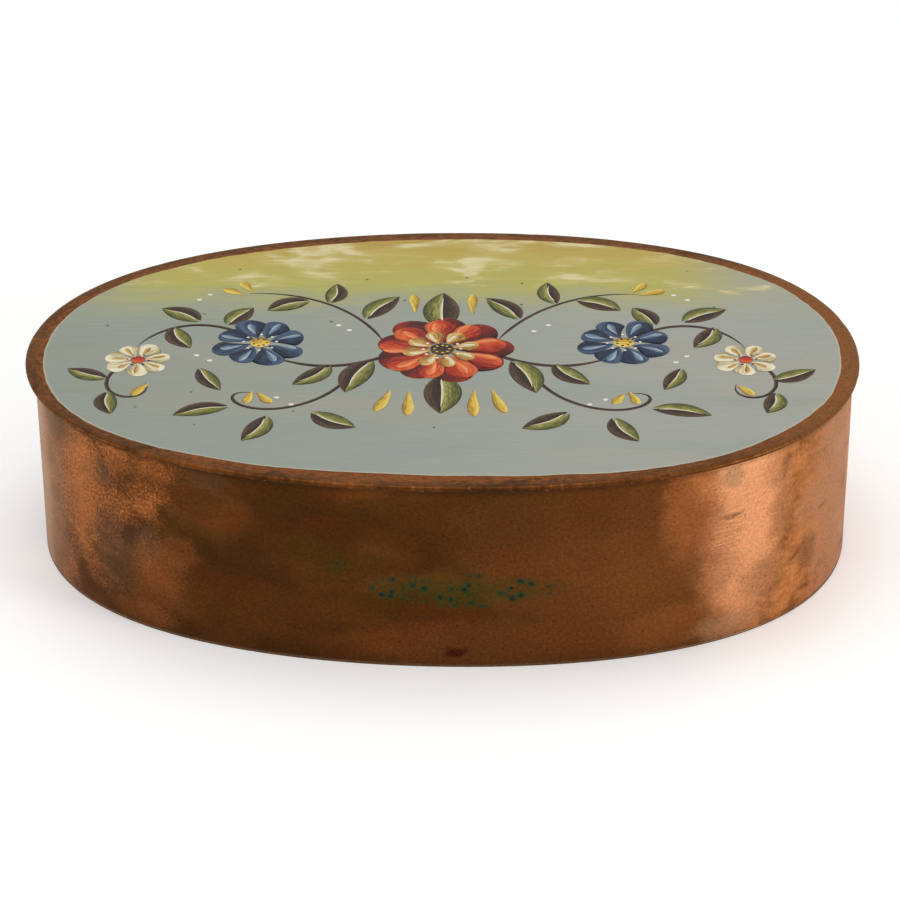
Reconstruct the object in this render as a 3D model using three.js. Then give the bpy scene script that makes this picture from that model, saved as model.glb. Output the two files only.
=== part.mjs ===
// Oval copper trinket box with a lift-off lid. Millimetres, +Z up, +X along the box, +Y to the back.
// The origin lies on the table, under the middle of the lid.
import * as THREE from "three";

// Driving sizes of the whole box
const lidLength = 230;
const lidDepth = 148.3;
const closedHeight = 56.6; // from the table to the bare copper on top of the lid
const sheetGauge = 0.7; // one sheet of copper gives the wall, the base, the lid and its flange

// The outline is cut by eye: a little squarer than an ellipse, and deeper towards the right-hand end
const shoulderShare = 0.068;
const fullerEndShare = 0.041;

// Lid
const lidOverhang = 2.1; // finger grip past the wall, all round
const hemSlit = 0.1; // the edge is turned under and dressed flat, nearly closed
const hemLanding = 0.5; // hem that still shows inside the soldered corner
const flangeDrop = 9; // how far the flange reaches down inside the wall
const flangeClearance = 0.8;
const lidSeatPlay = 0.45; // the lid sits this far to the left of the middle of the body
const borderWidth = 4.8; // bare copper round the painted ground
const paintThickness = 0.1;

// Lapped seams, at the middle of the back
const lapLength = 8;
const joggleLength = 3; // the bend that lifts one end of a strip over the other
const joggleToe = 0.5; // from the end of the bend to the other end of the strip
const seamFilm = 0.15; // solder between the two layers of a lap
const beadLength = 1;
const beadShare = 0.8; // how much of the end of the sheet the bead covers

// Soldered corners
const solderLeg = 1.2;
const solderHollowShare = 0.32; // how far the middle of a fillet stands off its corner

// Steps of the curves
const roundSteps = 120;
const lapSteps = 4;
const joggleSteps = 4;
const foldSteps = 6;

const copper = new THREE.MeshStandardMaterial({ color: 0x8a4f2c, roughness: 0.38, metalness: 1 });
const lidCopper = new THREE.MeshStandardMaterial({ color: 0x7a4a2e, roughness: 0.42, metalness: 1 });
const innerCopper = new THREE.MeshStandardMaterial({ color: 0x9a5b38, roughness: 0.45, metalness: 1 });
const solder = new THREE.MeshStandardMaterial({ color: 0x85827a, roughness: 0.55, metalness: 1 });
const paint = new THREE.MeshStandardMaterial({ color: 0xa0a49a, roughness: 0.45, metalness: 0 });

// The outline of the lid, counterclockwise from the middle of the back
class HandCutOval extends THREE.Curve {
  getPoint(t, target = new THREE.Vector3()) {
    const turn = 2 * Math.PI * t + Math.PI / 2;
    const across = Math.cos(turn);
    const along = Math.sin(turn);
    const x = (lidLength / 2) * across * (1 + shoulderShare * along ** 2);
    const y = (lidDepth / 2) * along * (1 + shoulderShare * across ** 2);
    return target.set(x, y * (1 + fullerEndShare * across), 0);
  }
}

const oval = new HandCutOval();
oval.arcLengthDivisions = 2400;
const outlineLength = oval.getLength();

// A place in plan: a share of the way round the outline, and a distance inwards from it
function placeAt(share, inset) {
  const point = oval.getPointAt(share % 1);
  const way = oval.getTangentAt(share % 1);
  return new THREE.Vector2(point.x - way.y * inset, point.y + way.x * inset);
}

// Where the curves have their corners, as shares of the outline. A seam has steps of its own.
const lapShare = lapLength / outlineLength;
const beadEndShare = (lapLength + beadLength) / outlineLength;
const bendEndShare = 1 - joggleToe / outlineLength;
const bendStartShare = bendEndShare - joggleLength / outlineLength;

function stepsBetween(from, to, steps) {
  return Array.from({ length: steps }, (_, i) => from + ((to - from) * i) / steps);
}

const lapShares = [...stepsBetween(0, lapShare, lapSteps), lapShare];
const plainShares = [
  ...stepsBetween(beadEndShare, bendStartShare, roundSteps),
  ...stepsBetween(bendStartShare, bendEndShare, joggleSteps),
  bendEndShare,
];
const roundShares = [...lapShares, ...plainShares];
const stripShares = [...roundShares, ...lapShares.map((share) => share + 1)];

// How far a strip has crossed over its other end, from 0 to one gauge and one film of solder
const lapRise = sheetGauge + seamFilm;
function riseAt(share) {
  return lapRise * THREE.MathUtils.smoothstep(share, bendStartShare, bendEndShare);
}

// What shows of a lap, seen from its outer side: the lapped end counts there too
function coveredRiseAt(share) {
  return share <= lapShare ? lapRise : riseAt(share);
}

function upright(outline, bottom, top) {
  const shape = new THREE.Shape(outline);
  const geometry = new THREE.ExtrudeGeometry(shape, { depth: top - bottom, bevelEnabled: false });
  return geometry.translate(0, 0, bottom);
}

// A strip bent round the oval, whose last end laps the first. side is 1 for a lap inwards, -1 outwards.
function lappedStrip(outerInset, side, bottom, top) {
  const outer = stripShares.map((share) => placeAt(share, outerInset + side * riseAt(share)));
  const inner = stripShares.map((share) => {
    return placeAt(share, outerInset + side * riseAt(share) + sheetGauge);
  });
  return upright([...outer, ...inner.reverse()], bottom, top);
}

// The solder in a lap: a film between the layers, and a bead along the end of the upper one
function seamSolder(faceInset, side, bottom, top) {
  const lower = lapShares.map((share) => placeAt(share, faceInset));
  const upper = lapShares.map((share) => placeAt(share, faceInset + side * seamFilm));
  const beadToe = placeAt(beadEndShare, faceInset);
  const beadTop = placeAt(lapShare, faceInset + side * (seamFilm + beadShare * sheetGauge));
  return upright([...lower, beadToe, beadTop, ...upper.reverse()], bottom, top);
}

// A section carried once round the oval. insetAt moves it in or out along the way, and the section is
// given as [inset, height] corners, counterclockwise with the outside of the box to the right.
function carriedRound(section, insetAt, capped) {
  const corners = [];
  const faces = [];
  const perStep = section.length;
  for (const share of roundShares) {
    for (const [inset, height] of section) {
      const place = placeAt(share, inset + insetAt(share));
      corners.push(place.x, place.y, height);
    }
  }
  const steps = roundShares.length;
  const sides = capped ? perStep - 1 : perStep;
  for (let i = 0; i < steps; i++) {
    const next = ((i + 1) % steps) * perStep;
    for (let j = 0; j < sides; j++) {
      const k = (j + 1) % perStep;
      faces.push(i * perStep + j, next + j, next + k, i * perStep + j, next + k, i * perStep + k);
    }
  }
  if (capped) {
    const lowCentre = steps * perStep;
    const highCentre = lowCentre + 1;
    corners.push(0, 0, section[0][1], 0, 0, section[perStep - 1][1]);
    for (let i = 0; i < steps; i++) {
      const next = ((i + 1) % steps) * perStep;
      faces.push(lowCentre, next, i * perStep);
      faces.push(highCentre, i * perStep + perStep - 1, next + perStep - 1);
    }
  }
  const geometry = new THREE.BufferGeometry();
  geometry.setAttribute("position", new THREE.Float32BufferAttribute(corners, 3));
  geometry.setIndex(faces);
  geometry.computeVertexNormals();
  return geometry;
}

// A hollow-faced fillet of solder in a corner. up is 1 where it stands on a plate, -1 where it hangs.
function cornerSolder(cornerHeight, up, insetAt) {
  const hollow = solderHollowShare * solderLeg;
  const section = [
    [0, cornerHeight],
    [0, cornerHeight + up * solderLeg],
    [hollow, cornerHeight + up * hollow],
    [solderLeg, cornerHeight],
  ];
  return carriedRound(up > 0 ? section : section.reverse(), insetAt, false);
}

// Heights and insets that the pieces share
const baseTop = sheetGauge;
const hemThickness = 2 * sheetGauge + hemSlit;
const lidUnderside = closedHeight - hemThickness;
const wallInset = lidOverhang;
const wallInnerInset = wallInset + sheetGauge;
const flangeInset = wallInnerInset + flangeClearance;
const flangeInnerInset = flangeInset + sheetGauge;
const hemWidth = flangeInnerInset + lapRise + solderLeg + hemLanding;

// Base: the wall is soldered on a sheet, which is then trimmed flush with it, lap and all
function basePlate() {
  const outline = roundShares.map((share) => placeAt(share, wallInset - coveredRiseAt(share)));
  return upright(outline, 0, baseTop);
}

// Lid: one sheet whose edge is turned under, so the edge is two gauges and the slit thick and round
function lidPlate() {
  const foldRadius = hemThickness / 2;
  const hemTop = lidUnderside + sheetGauge;
  const sheetUnderside = closedHeight - sheetGauge;
  const fold = Array.from({ length: foldSteps + 1 }, (_, i) => {
    const turn = Math.PI * (i / foldSteps - 1 / 2);
    return [foldRadius * (1 - Math.cos(turn)), lidUnderside + foldRadius * (1 + Math.sin(turn))];
  });
  const section = [
    [hemWidth, sheetUnderside],
    [foldRadius, sheetUnderside],
    [foldRadius, hemTop],
    [hemWidth, hemTop],
    [hemWidth, lidUnderside],
    ...fold,
  ];
  return carriedRound(section, () => 0, true);
}

function paintedGround() {
  const outline = roundShares.map((share) => placeAt(share, borderWidth));
  return upright(outline, closedHeight, closedHeight + paintThickness);
}

function named(name, geometry, material) {
  const mesh = new THREE.Mesh(geometry, material);
  mesh.name = name;
  return mesh;
}

const body = new THREE.Group();
body.position.x = lidSeatPlay;
body.add(
  named("base_plate", basePlate(), copper),
  named("body_wall", lappedStrip(wallInset, -1, baseTop, lidUnderside), copper),
  named("wall_seam_solder", seamSolder(wallInset, -1, baseTop, lidUnderside), solder),
  named("base_solder", cornerSolder(baseTop, 1, (share) => wallInnerInset - riseAt(share)), solder),
);

const flangeBottom = lidUnderside - flangeDrop;
const lid = new THREE.Group();
lid.add(
  named("lid_plate", lidPlate(), lidCopper),
  named("painted_ground", paintedGround(), paint),
  named("lid_flange", lappedStrip(flangeInset, 1, flangeBottom, lidUnderside), innerCopper),
  named("flange_seam_solder", seamSolder(flangeInnerInset, 1, flangeBottom, lidUnderside), solder),
  named(
    "lid_solder",
    cornerSolder(lidUnderside, -1, (share) => flangeInnerInset + coveredRiseAt(share)),
    solder,
  ),
);

const box = new THREE.Group();
box.add(body, lid);

export default box;
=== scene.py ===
# %% [markdown]
# An oval copper trinket box with a painted lid.
# The box is tin-smith's work: a strip of copper bent round an oval, a sheet soldered under it, and a
# lid whose edge is folded under. Its shape is simple, so what makes it look real is the metal: how
# the sheet waves, where hands have rubbed it and where it has tarnished. The construction comes from
# the CAD model, and this lesson models each piece again as finely as the eye sees it.

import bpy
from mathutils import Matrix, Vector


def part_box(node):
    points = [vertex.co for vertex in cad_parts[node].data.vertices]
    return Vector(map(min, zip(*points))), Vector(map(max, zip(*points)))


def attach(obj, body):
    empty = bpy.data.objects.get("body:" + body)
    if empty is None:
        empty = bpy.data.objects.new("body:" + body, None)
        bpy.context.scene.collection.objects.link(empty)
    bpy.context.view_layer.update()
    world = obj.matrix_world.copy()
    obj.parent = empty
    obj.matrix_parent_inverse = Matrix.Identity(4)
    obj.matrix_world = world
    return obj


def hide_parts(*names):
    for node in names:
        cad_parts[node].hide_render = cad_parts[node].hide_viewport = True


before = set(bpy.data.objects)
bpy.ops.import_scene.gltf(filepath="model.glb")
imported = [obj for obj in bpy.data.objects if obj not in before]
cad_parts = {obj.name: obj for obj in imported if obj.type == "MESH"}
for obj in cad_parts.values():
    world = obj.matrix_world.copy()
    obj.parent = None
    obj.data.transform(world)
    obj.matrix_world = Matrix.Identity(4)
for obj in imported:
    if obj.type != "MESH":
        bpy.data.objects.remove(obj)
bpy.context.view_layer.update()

# %% [markdown]
# Blender works in metres and the coppersmith in millimetres, so one value turns the second into the
# first. Heights are read off the CAD pieces, and what can't be read off a box, such as the gauge of
# the sheet, is named here once.

# %% Sizes of the box
import math
import random

import bmesh
import bpy
import numpy as np
from mathutils import Quaternion, Vector, noise

MM = 0.001
LID_LENGTH = 230 * MM
LID_DEPTH = 148.3 * MM
SHOULDER_SHARE = 0.068  # how much squarer than an ellipse
FULLER_END_SHARE = 0.041  # how much deeper the right-hand end is
GAUGE = 0.7 * MM
LID_OVERHANG = 2.1 * MM
FLANGE_CLEARANCE = 0.8 * MM
HEM_WIDTH = 6.85 * MM
BORDER_WIDTH = 4.8 * MM
LAP_LENGTH = 8 * MM
JOGGLE_LENGTH = 3 * MM
JOGGLE_TOE = 0.5 * MM
SEAM_FILM = 0.15 * MM
BEAD_LENGTH = 1 * MM
BEAD_SHARE = 0.8
SOLDER_LEG = 1.2 * MM

base_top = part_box("base_plate")[1].z
wall_low, wall_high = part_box("body_wall")
lid_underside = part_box("lid_plate")[0].z
lid_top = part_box("lid_plate")[1].z
ground_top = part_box("painted_ground")[1].z
flange_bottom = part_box("lid_flange")[0].z
seat_play = (wall_low.x + wall_high.x) / 2  # the lid sits a little to the left on the body
print(f"lid underside {lid_underside / MM:.1f} mm, top {lid_top / MM:.1f} mm, play {seat_play / MM:.2f} mm")

# %% [markdown]
# Every piece follows one hand-cut outline. A circle drawn with a little extra at the shoulders gives
# it, and because paint, folds and walls all lie at some distance inside that line, one function
# answers the only question that they ask: where is the point this far round and this far in?

# %% The outline
TABLE_STEPS = 4000
turns = np.linspace(0, 2 * math.pi, TABLE_STEPS + 1) + math.pi / 2


def outline(turn):
    across, along = np.cos(turn), np.sin(turn)
    x = LID_LENGTH / 2 * across * (1 + SHOULDER_SHARE * along**2)
    y = LID_DEPTH / 2 * along * (1 + SHOULDER_SHARE * across**2)
    return x, y * (1 + FULLER_END_SHARE * across)


table_x, table_y = outline(turns)
walked = np.concatenate([[0], np.cumsum(np.hypot(np.diff(table_x), np.diff(table_y)))])
OUTLINE_LENGTH = walked[-1]


def place(share, inset):
    """x and y of the point a share of the way round, from the middle of the back, and inset inwards."""
    turn = np.interp(share % 1 * OUTLINE_LENGTH, walked, turns)
    behind, ahead = outline(turn - math.pi / TABLE_STEPS), outline(turn + math.pi / TABLE_STEPS)
    way = Vector((ahead[0] - behind[0], ahead[1] - behind[1])).normalized()
    x, y = outline(turn)
    return x - way.y * inset, y + way.x * inset


def hand(share, wave, seed):
    """Unevenness between -1 and 1 that closes on itself round the outline. wave is its length."""
    radius = OUTLINE_LENGTH / wave / (2 * math.pi)
    angle = 2 * math.pi * share
    return noise.noise(Vector((radius * math.cos(angle), radius * math.sin(angle), seed)))


print(f"once round the lid is {OUTLINE_LENGTH / MM:.0f} mm")

# %% [markdown]
# The camera stands where the photographer's did: about a metre away, thirty degrees above the table,
# with a long lens, so the box hardly narrows towards the back. It looks at a point a little below the
# middle of the box, and it is turned and rolled by less than a degree, as a camera on a stand is.

# %% Camera
LENS = 139.1
CAMERA_DISTANCE = 0.977
CAMERA_LIFT = math.radians(30)
CAMERA_TURN = math.radians(0.71)
CAMERA_ROLL = math.radians(-0.24)
LOOKED_AT = Vector((2.1 * MM, 0, 25.2 * MM))

camera_data = bpy.data.cameras.new("camera")
camera_data.lens = LENS
camera_data.clip_start = 0.05
camera = bpy.data.objects.new("camera", camera_data)
bpy.context.scene.collection.objects.link(camera)
bpy.context.scene.camera = camera
back = Vector((
    math.sin(CAMERA_TURN) * math.cos(CAMERA_LIFT),
    -math.cos(CAMERA_TURN) * math.cos(CAMERA_LIFT),
    math.sin(CAMERA_LIFT),
))
camera.location = LOOKED_AT + back * CAMERA_DISTANCE
camera.rotation_mode = "QUATERNION"
camera.rotation_quaternion = (-back).to_track_quat("-Z", "Y") @ Quaternion((0, 0, 1), CAMERA_ROLL)
print("camera at", [round(c, 3) for c in camera.location])

# %% [markdown]
# Materials are built from nodes. One helper adds a node, sets it up and links it, so a material reads
# from top to bottom like a recipe. A colour is written as the hex value that a paint chart would
# give, and one function turns it into the linear numbers that the renderer adds and multiplies.

# %% Helpers for materials
MIX_FACTOR, MIX_A, MIX_B, MIX_COLOUR = 0, 6, 7, 2


def colour(hex_value):
    channels = [int(hex_value[i : i + 2], 16) / 255 for i in (0, 2, 4)]
    linear = [c / 12.92 if c <= 0.04045 else ((c + 0.055) / 1.055) ** 2.4 for c in channels]
    return (*linear, 1)


def add(tree, kind, inputs=None, stops=None, **settings):
    """Adds a node. inputs gives each socket a value or another node's output, stops a ramp's colours."""
    node = tree.nodes.new(kind)
    for name, value in settings.items():
        setattr(node, name, value)
    for name, value in (inputs or {}).items():
        if isinstance(value, bpy.types.NodeSocket):
            tree.links.new(value, node.inputs[name])
        else:
            node.inputs[name].default_value = value
    for i, (position, value) in enumerate(stops or []):
        ramp = node.color_ramp.elements
        stop = ramp[i] if i < 2 else ramp.new(position)
        stop.position, stop.color = position, value
    return node


def new_material(name):
    material = bpy.data.materials.new(name)
    material.use_nodes = True
    tree = material.node_tree
    return material, tree, tree.nodes["Principled BSDF"]


def per(size):
    """The scale of a pattern whose features are this many metres across."""
    return 1 / size


print("a middle grey, 808080, is", round(colour("808080")[0], 3), "in linear numbers")

# %% [markdown]
# The room is plain: a pale floor, an even light from all round, a soft light overhead and a tall
# softbox at either side. Upright metal mirrors the floor in front of it and, through its fine
# scratches, the softboxes behind that, which is why they stand low. The room is white for mirror
# rays as it is for the camera, and the light that falls on the object stays at a level that renders a
# colour as it is written.

# %% Floor, lamps and world
WORLD_LIGHT = 0.5
FLOOR_SIZE = 4
FLOOR_GLOW = 0.19  # lifts the floor to white for the camera, and lights nothing
FAR_GLOW = 0.6  # the same, out beyond the lamps, where little light falls
MIRRORED_GLOW = 0.6  # how much of that glow a mirror sees
LAMPS = [
    # name, place, width, height, watts
    ("softbox_left", (-1.15, -0.15, 0.34), 0.4, 0.6, 3.2),
    ("softbox_right", (1.0, -0.55, 0.34), 0.3, 0.6, 5.0),
    ("softbox_above", (0.0, 0.1, 1.5), 1.1, 1.1, 8.0),
]

world = bpy.data.worlds.new("studio")
bpy.context.scene.world = world
world.use_nodes = True
sky = world.node_tree
rays = add(sky, "ShaderNodeLightPath").outputs
seen = add(sky, "ShaderNodeMath", {0: rays["Is Camera Ray"], 1: rays["Is Glossy Ray"]}, operation="MAXIMUM")
seen = add(
    sky, "ShaderNodeMath", {0: seen.outputs[0], 1: rays["Is Transmission Ray"]}, operation="MAXIMUM"
)
strength = add(sky, "ShaderNodeMapRange", {"Value": seen.outputs[0], "To Min": WORLD_LIGHT, "To Max": 1.0})
sky.nodes["Background"].inputs["Color"].default_value = colour("FFFFFF")
sky.links.new(strength.outputs[0], sky.nodes["Background"].inputs["Strength"])

bm = bmesh.new()
bmesh.ops.create_grid(bm, x_segments=1, y_segments=1, size=FLOOR_SIZE / 2)
floor_data = bpy.data.meshes.new("floor")
bm.to_mesh(floor_data)
bm.free()
floor = bpy.data.objects.new("floor", floor_data)
bpy.context.scene.collection.objects.link(floor)
material, tree, shader = new_material("pale_floor")
shader.inputs["Base Color"].default_value = colour("F6F6F4")
shader.inputs["Roughness"].default_value = 0.9
shader.inputs["Emission Color"].default_value = colour("FFFFFF")
rays = add(tree, "ShaderNodeLightPath").outputs
seen = add(tree, "ShaderNodeMath", {
    0: rays["Is Glossy Ray"], 1: MIRRORED_GLOW, 2: rays["Is Camera Ray"],
}, operation="MULTIPLY_ADD")
away = add(tree, "ShaderNodeTexCoord").outputs["Object"]
away = add(tree, "ShaderNodeVectorMath", {0: away}, operation="LENGTH").outputs["Value"]
glow = add(tree, "ShaderNodeMapRange", {
    "Value": away, "From Min": 0.5, "From Max": 1.2, "To Min": FLOOR_GLOW, "To Max": FAR_GLOW,
})
glow = add(tree, "ShaderNodeMath", {0: seen.outputs[0], 1: glow.outputs[0]}, operation="MULTIPLY")
tree.links.new(glow.outputs[0], shader.inputs["Emission Strength"])
floor_data.materials.append(material)

for name, spot, width, height, watts in LAMPS:
    lamp_data = bpy.data.lights.new(name, "AREA")
    lamp_data.shape = "RECTANGLE"
    lamp_data.size = width
    lamp_data.size_y = height
    lamp_data.energy = watts
    lamp = bpy.data.objects.new(name, lamp_data)
    lamp.location = spot
    lamp.rotation_mode = "QUATERNION"
    lamp.rotation_quaternion = (LOOKED_AT - Vector(spot)).to_track_quat("-Z", "Y")
    bpy.context.scene.collection.objects.link(lamp)
bpy.context.scene.view_settings.view_transform = "Standard"
print(len(LAMPS), "lamps")

# %% [markdown]
# Tarnish is a matter of places: here a hand has rubbed, there a wet ring has stood. So the metal
# carries its own map. Every vertex of a sheet knows how far along the strip it lies and how high up,
# and a mark is placed by those two numbers, in metres. A few helpers do the rest. One makes a map
# wander, so the marks on it get ragged edges. One makes a blot and one scatters dots. One lays a
# finish over another where a blot says so, and one lets a pattern darken and lighten a finish.

# %% Marks on the metal
def wandering(tree, sheet, size, reach):
    """The sheet's map, shifted to and fro by up to reach in steps of size."""
    drift = add(tree, "ShaderNodeTexNoise", {"Vector": sheet, "Scale": per(size), "Detail": 2.0})
    drift = add(tree, "ShaderNodeVectorMath", {0: drift.outputs["Color"], 1: (0.5, 0.5, 0.5)},
                operation="SUBTRACT")
    return add(tree, "ShaderNodeVectorMath", {0: drift.outputs[0], 1: (reach * 2,) * 3, 2: sheet},
               operation="MULTIPLY_ADD").outputs[0]


def blot(tree, sheet, centre, size):
    """1 in the middle of an oval blot and 0 from its edge outwards."""
    local = add(tree, "ShaderNodeMapping", {
        "Vector": sheet,
        "Location": (-centre[0] / size[0], -centre[1] / size[1], 0),
        "Scale": (1 / size[0], 1 / size[1], 0),
    })
    return add(tree, "ShaderNodeTexGradient", {0: local.outputs[0]}, gradient_type="SPHERICAL").outputs[1]


def lay(tree, under, over, mask, start, full, most=1.0):
    """Lays the finish over where the mask has passed start, and wholly, or up to most, from full on."""
    share = add(tree, "ShaderNodeMapRange", {
        "Value": mask, "From Min": start, "From Max": full, "To Max": most,
    }, interpolation_type="SMOOTHSTEP")
    return add(tree, "ShaderNodeMix", {MIX_FACTOR: share.outputs[0], MIX_A: under, MIX_B: over},
               data_type="RGBA").outputs[MIX_COLOUR]


def dots(tree, sheet, apart, solid, gone, left_out):
    """1 in dots about this far apart, a share of which is left out. A dot is whole up to solid and
    ends at gone, which are shares of apart from its middle."""
    cells = add(tree, "ShaderNodeTexVoronoi", {"Vector": sheet, "Scale": per(apart)}).outputs
    dot = add(tree, "ShaderNodeMapRange", {"Value": cells["Distance"], "From Min": gone, "From Max": solid})
    kept = add(tree, "ShaderNodeSeparateXYZ", {0: cells["Color"]}).outputs[0]
    kept = add(tree, "ShaderNodeMath", {0: kept, 1: left_out}, operation="GREATER_THAN")
    return add(tree, "ShaderNodeMath", {0: dot.outputs[0], 1: kept.outputs[0]},
               operation="MULTIPLY").outputs[0]


def shaded(tree, finish, pattern, low, high, darkest, lightest):
    """The finish, darkest where the pattern is at its usual low and lightest at its usual high."""
    shade = add(tree, "ShaderNodeMapRange", {
        "Value": pattern, "From Min": low, "From Max": high, "To Min": darkest, "To Max": lightest,
    })
    return add(tree, "ShaderNodeMix", {MIX_FACTOR: 1.0, MIX_A: finish, MIX_B: shade.outputs[0]},
               data_type="RGBA", blend_type="MULTIPLY").outputs[MIX_COLOUR]


front_steps = table_y < 0


def on_front(x, height):
    """The map's numbers, in metres, of a mark on the front of the wall, x and height in mm."""
    return float(np.interp(x * MM, table_x[front_steps], walked[front_steps])), height * MM


print("the middle of the front is", round(on_front(0, 0)[0] / MM), "mm along the strip")

# %% [markdown]
# Tarnished copper, outside. Cold-rolled copper is salmon pink when new. In air it grows a film of
# oxide, brown to olive, thick where nothing touches it and thin where hands rub it: so the two ends,
# where the box is picked up, are bright and the long front is dark. The colours also carry painted
# light: the dark of the long front is partly a painted reflection of a darker room, and the bright
# ends are partly painted highlights of the softboxes. Both the film and the bare metal
# mirror the room, so the metal stays metallic and the film changes its colour and its gloss. The
# colours come first, then the patterns that they follow, and then the layers, from the film up.

# %% Colours of the tarnished wall
RED_FILM = colour("5A2A12")
OLIVE_FILM = colour("45310F")
LIGHT_FILM = colour("744421")
GREY_SMUDGE = colour("6B4A34")
PALE_SMUDGE = colour("A67E5C")
# rubbed bright copper, also used for a painted highlight of the right-hand softbox
POLISHED_WITH_HIGHLIGHT = colour("E39E70")
PINK_END = colour("BA8460")
HALF_POLISHED = colour("9C5C32")
BROWN_SMUDGE = colour("7C5234")
FLECK = colour("C98852")
PITTED = colour("3C2414")
BRIGHT_SPOT = colour("C97A45")
SCRATCHED = colour("82492A")
VERDIGRIS = colour("10261A")
VERDIGRIS_STAIN = colour("303C18")
RED_SPOT = colour("3A110A")
DARK_SMUDGE = colour("563E2C")
# painted sheen: the far left end, turned edge-on, paler and greyer
PALE_END_SHEEN = colour("94664A")
GREY_END_SHEEN = colour("B8967C")
GRAZED_FILM = colour("FFF5E8")  # tarnish keeps copper warm even where the light only grazes it
print("the film runs from", [round(c, 3) for c in RED_FILM[:3]], "to", [round(c, 3) for c in LIGHT_FILM[:3]])

# %% Patterns of the wall
wall_copper, tree, shader = new_material("tarnished_wall_copper")
sheet = add(tree, "ShaderNodeAttribute", attribute_name="map").outputs["Vector"]
ragged = wandering(tree, sheet, 16 * MM, 7 * MM)
frayed = wandering(tree, sheet, 5 * MM, 3 * MM)

drawn_out = add(tree, "ShaderNodeMapping", {"Vector": ragged, "Scale": (0.5, 1, 1)}).outputs[0]
clouds = add(tree, "ShaderNodeTexNoise", {"Vector": drawn_out, "Scale": per(17 * MM), "Detail": 4.0})
fine = add(tree, "ShaderNodeTexNoise", {"Vector": sheet, "Scale": per(0.9 * MM), "Detail": 4.0})
speckle = add(tree, "ShaderNodeTexNoise", {
    "Vector": sheet, "Scale": per(0.7 * MM), "Detail": 2.0, "Roughness": 0.7,
}).outputs[0]
patches = add(tree, "ShaderNodeTexNoise", {
    "Vector": ragged, "Scale": per(10 * MM), "Detail": 4.0,
}).outputs[0]
stippled = add(tree, "ShaderNodeMapRange", {
    "Value": speckle, "From Min": 0.3, "From Max": 0.7, "To Min": 0.4, "To Max": 1.6,
}).outputs[0]
steep = add(tree, "ShaderNodeMapping", {
    "Vector": frayed, "Rotation": (0, 0, math.radians(-52)), "Scale": (0.12, 1, 1),
})
smears = add(tree, "ShaderNodeTexNoise", {
    "Vector": steep.outputs[0], "Scale": per(1.3 * MM), "Detail": 5.0,
}).outputs[0]
mottled = -0.35
for pattern, share in ((speckle, 0.6), (smears, 0.4), (patches, 0.7)):
    mottled = add(tree, "ShaderNodeMath", {0: pattern, 1: share, 2: mottled},
                  operation="MULTIPLY_ADD").outputs[0]
brushed = add(tree, "ShaderNodeMath", {0: smears, 1: 0.6, 2: -0.3}, operation="MULTIPLY_ADD")
brushed = add(tree, "ShaderNodeMath", {0: patches, 1: brushed.outputs[0]})
print(len(tree.nodes), "nodes of patterns")

# %% Film and bare metal
film = add(tree, "ShaderNodeValToRGB", {0: clouds.outputs[0]}, stops=[
    (0.30, colour("42270F")), (0.72, colour("6B3F1A")), (0.46, colour("4B2C12")), (0.58, colour("573316")),
]).outputs[0]
tints = add(tree, "ShaderNodeTexNoise", {"Vector": drawn_out, "Scale": per(12 * MM)}).outputs["Color"]
tints = add(tree, "ShaderNodeSeparateXYZ", {0: tints}).outputs
film = lay(tree, film, RED_FILM, tints[0], 0.5, 0.68, 0.45)
film = lay(tree, film, OLIVE_FILM, tints[1], 0.52, 0.68, 0.4)
thin_film = blot(tree, ragged, on_front(54, 20), (50 * MM, 52 * MM))
film = lay(tree, film, LIGHT_FILM, thin_film, 0.0, 0.8, 0.72)

half_rubbed = add(tree, "ShaderNodeValToRGB", {0: mottled}, stops=[
    (0.28, colour("452A18")), (0.74, colour("B06A3A")), (0.40, colour("5E371D")),
    (0.52, colour("784421")), (0.62, colour("905229")),
]).outputs[0]
metal = add(tree, "ShaderNodeValToRGB", {0: brushed.outputs[0]}, stops=[
    (0.26, colour("78461F")), (0.74, colour("DA9052")), (0.38, colour("9A5E31")),
    (0.50, colour("B3703F")), (0.60, colour("C47E48")),
]).outputs[0]
worn = add(tree, "ShaderNodeMapRange", {
    "Value": patches, "From Min": 0.3, "From Max": 0.7, "To Min": 0.3, "To Max": 1.7,
}).outputs[0]
rubbed = []
for centre, size in (((168, 50), (72, 62)), ((466, 50), (106, 110))):  # on the map, in mm
    end = blot(tree, ragged, [c * MM for c in centre], [c * MM for c in size])
    end = add(tree, "ShaderNodeMath", {0: end, 1: worn}, operation="MULTIPLY").outputs[0]
    rubbed.append(end)
left_end, right_end = rubbed
skin = lay(tree, film, half_rubbed, left_end, 0.02, 0.35)
for lowest, highest, tint, most in ((0.52, 0.64, FLECK, 0.28), (0.48, 0.36, PITTED, 0.35)):
    grains = add(tree, "ShaderNodeMapRange", {
        "Value": speckle, "From Min": lowest, "From Max": highest,
    })
    grains = add(tree, "ShaderNodeMath", {0: grains.outputs[0], 1: left_end}, operation="MULTIPLY")
    skin = lay(tree, skin, tint, grains.outputs[0], 0.0, 0.3, most)
skin = lay(tree, skin, metal, right_end, 0.0, 0.3)
# A narrow upright streak at the right end: rubbed bright metal with a painted highlight of the right-hand
# softbox on it.
polished_and_highlit = blot(tree, frayed, (388 * MM, 40 * MM), (20 * MM, 60 * MM))
skin = lay(tree, skin, POLISHED_WITH_HIGHLIGHT, polished_and_highlit, 0.1, 0.7, 0.85)
print("film, half rubbed at the left end and bright at the right")

# %% [markdown]
# A box this old has a history of marks: thumbs, damp shelves, a drip of red. Each is a blot whose edge
# the wandering map frays and whose inside the speckle stipples. A table of them is easier to read and
# to change than a chain of nodes, so the marks are rows here, and one loop lays them one on another.

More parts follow.
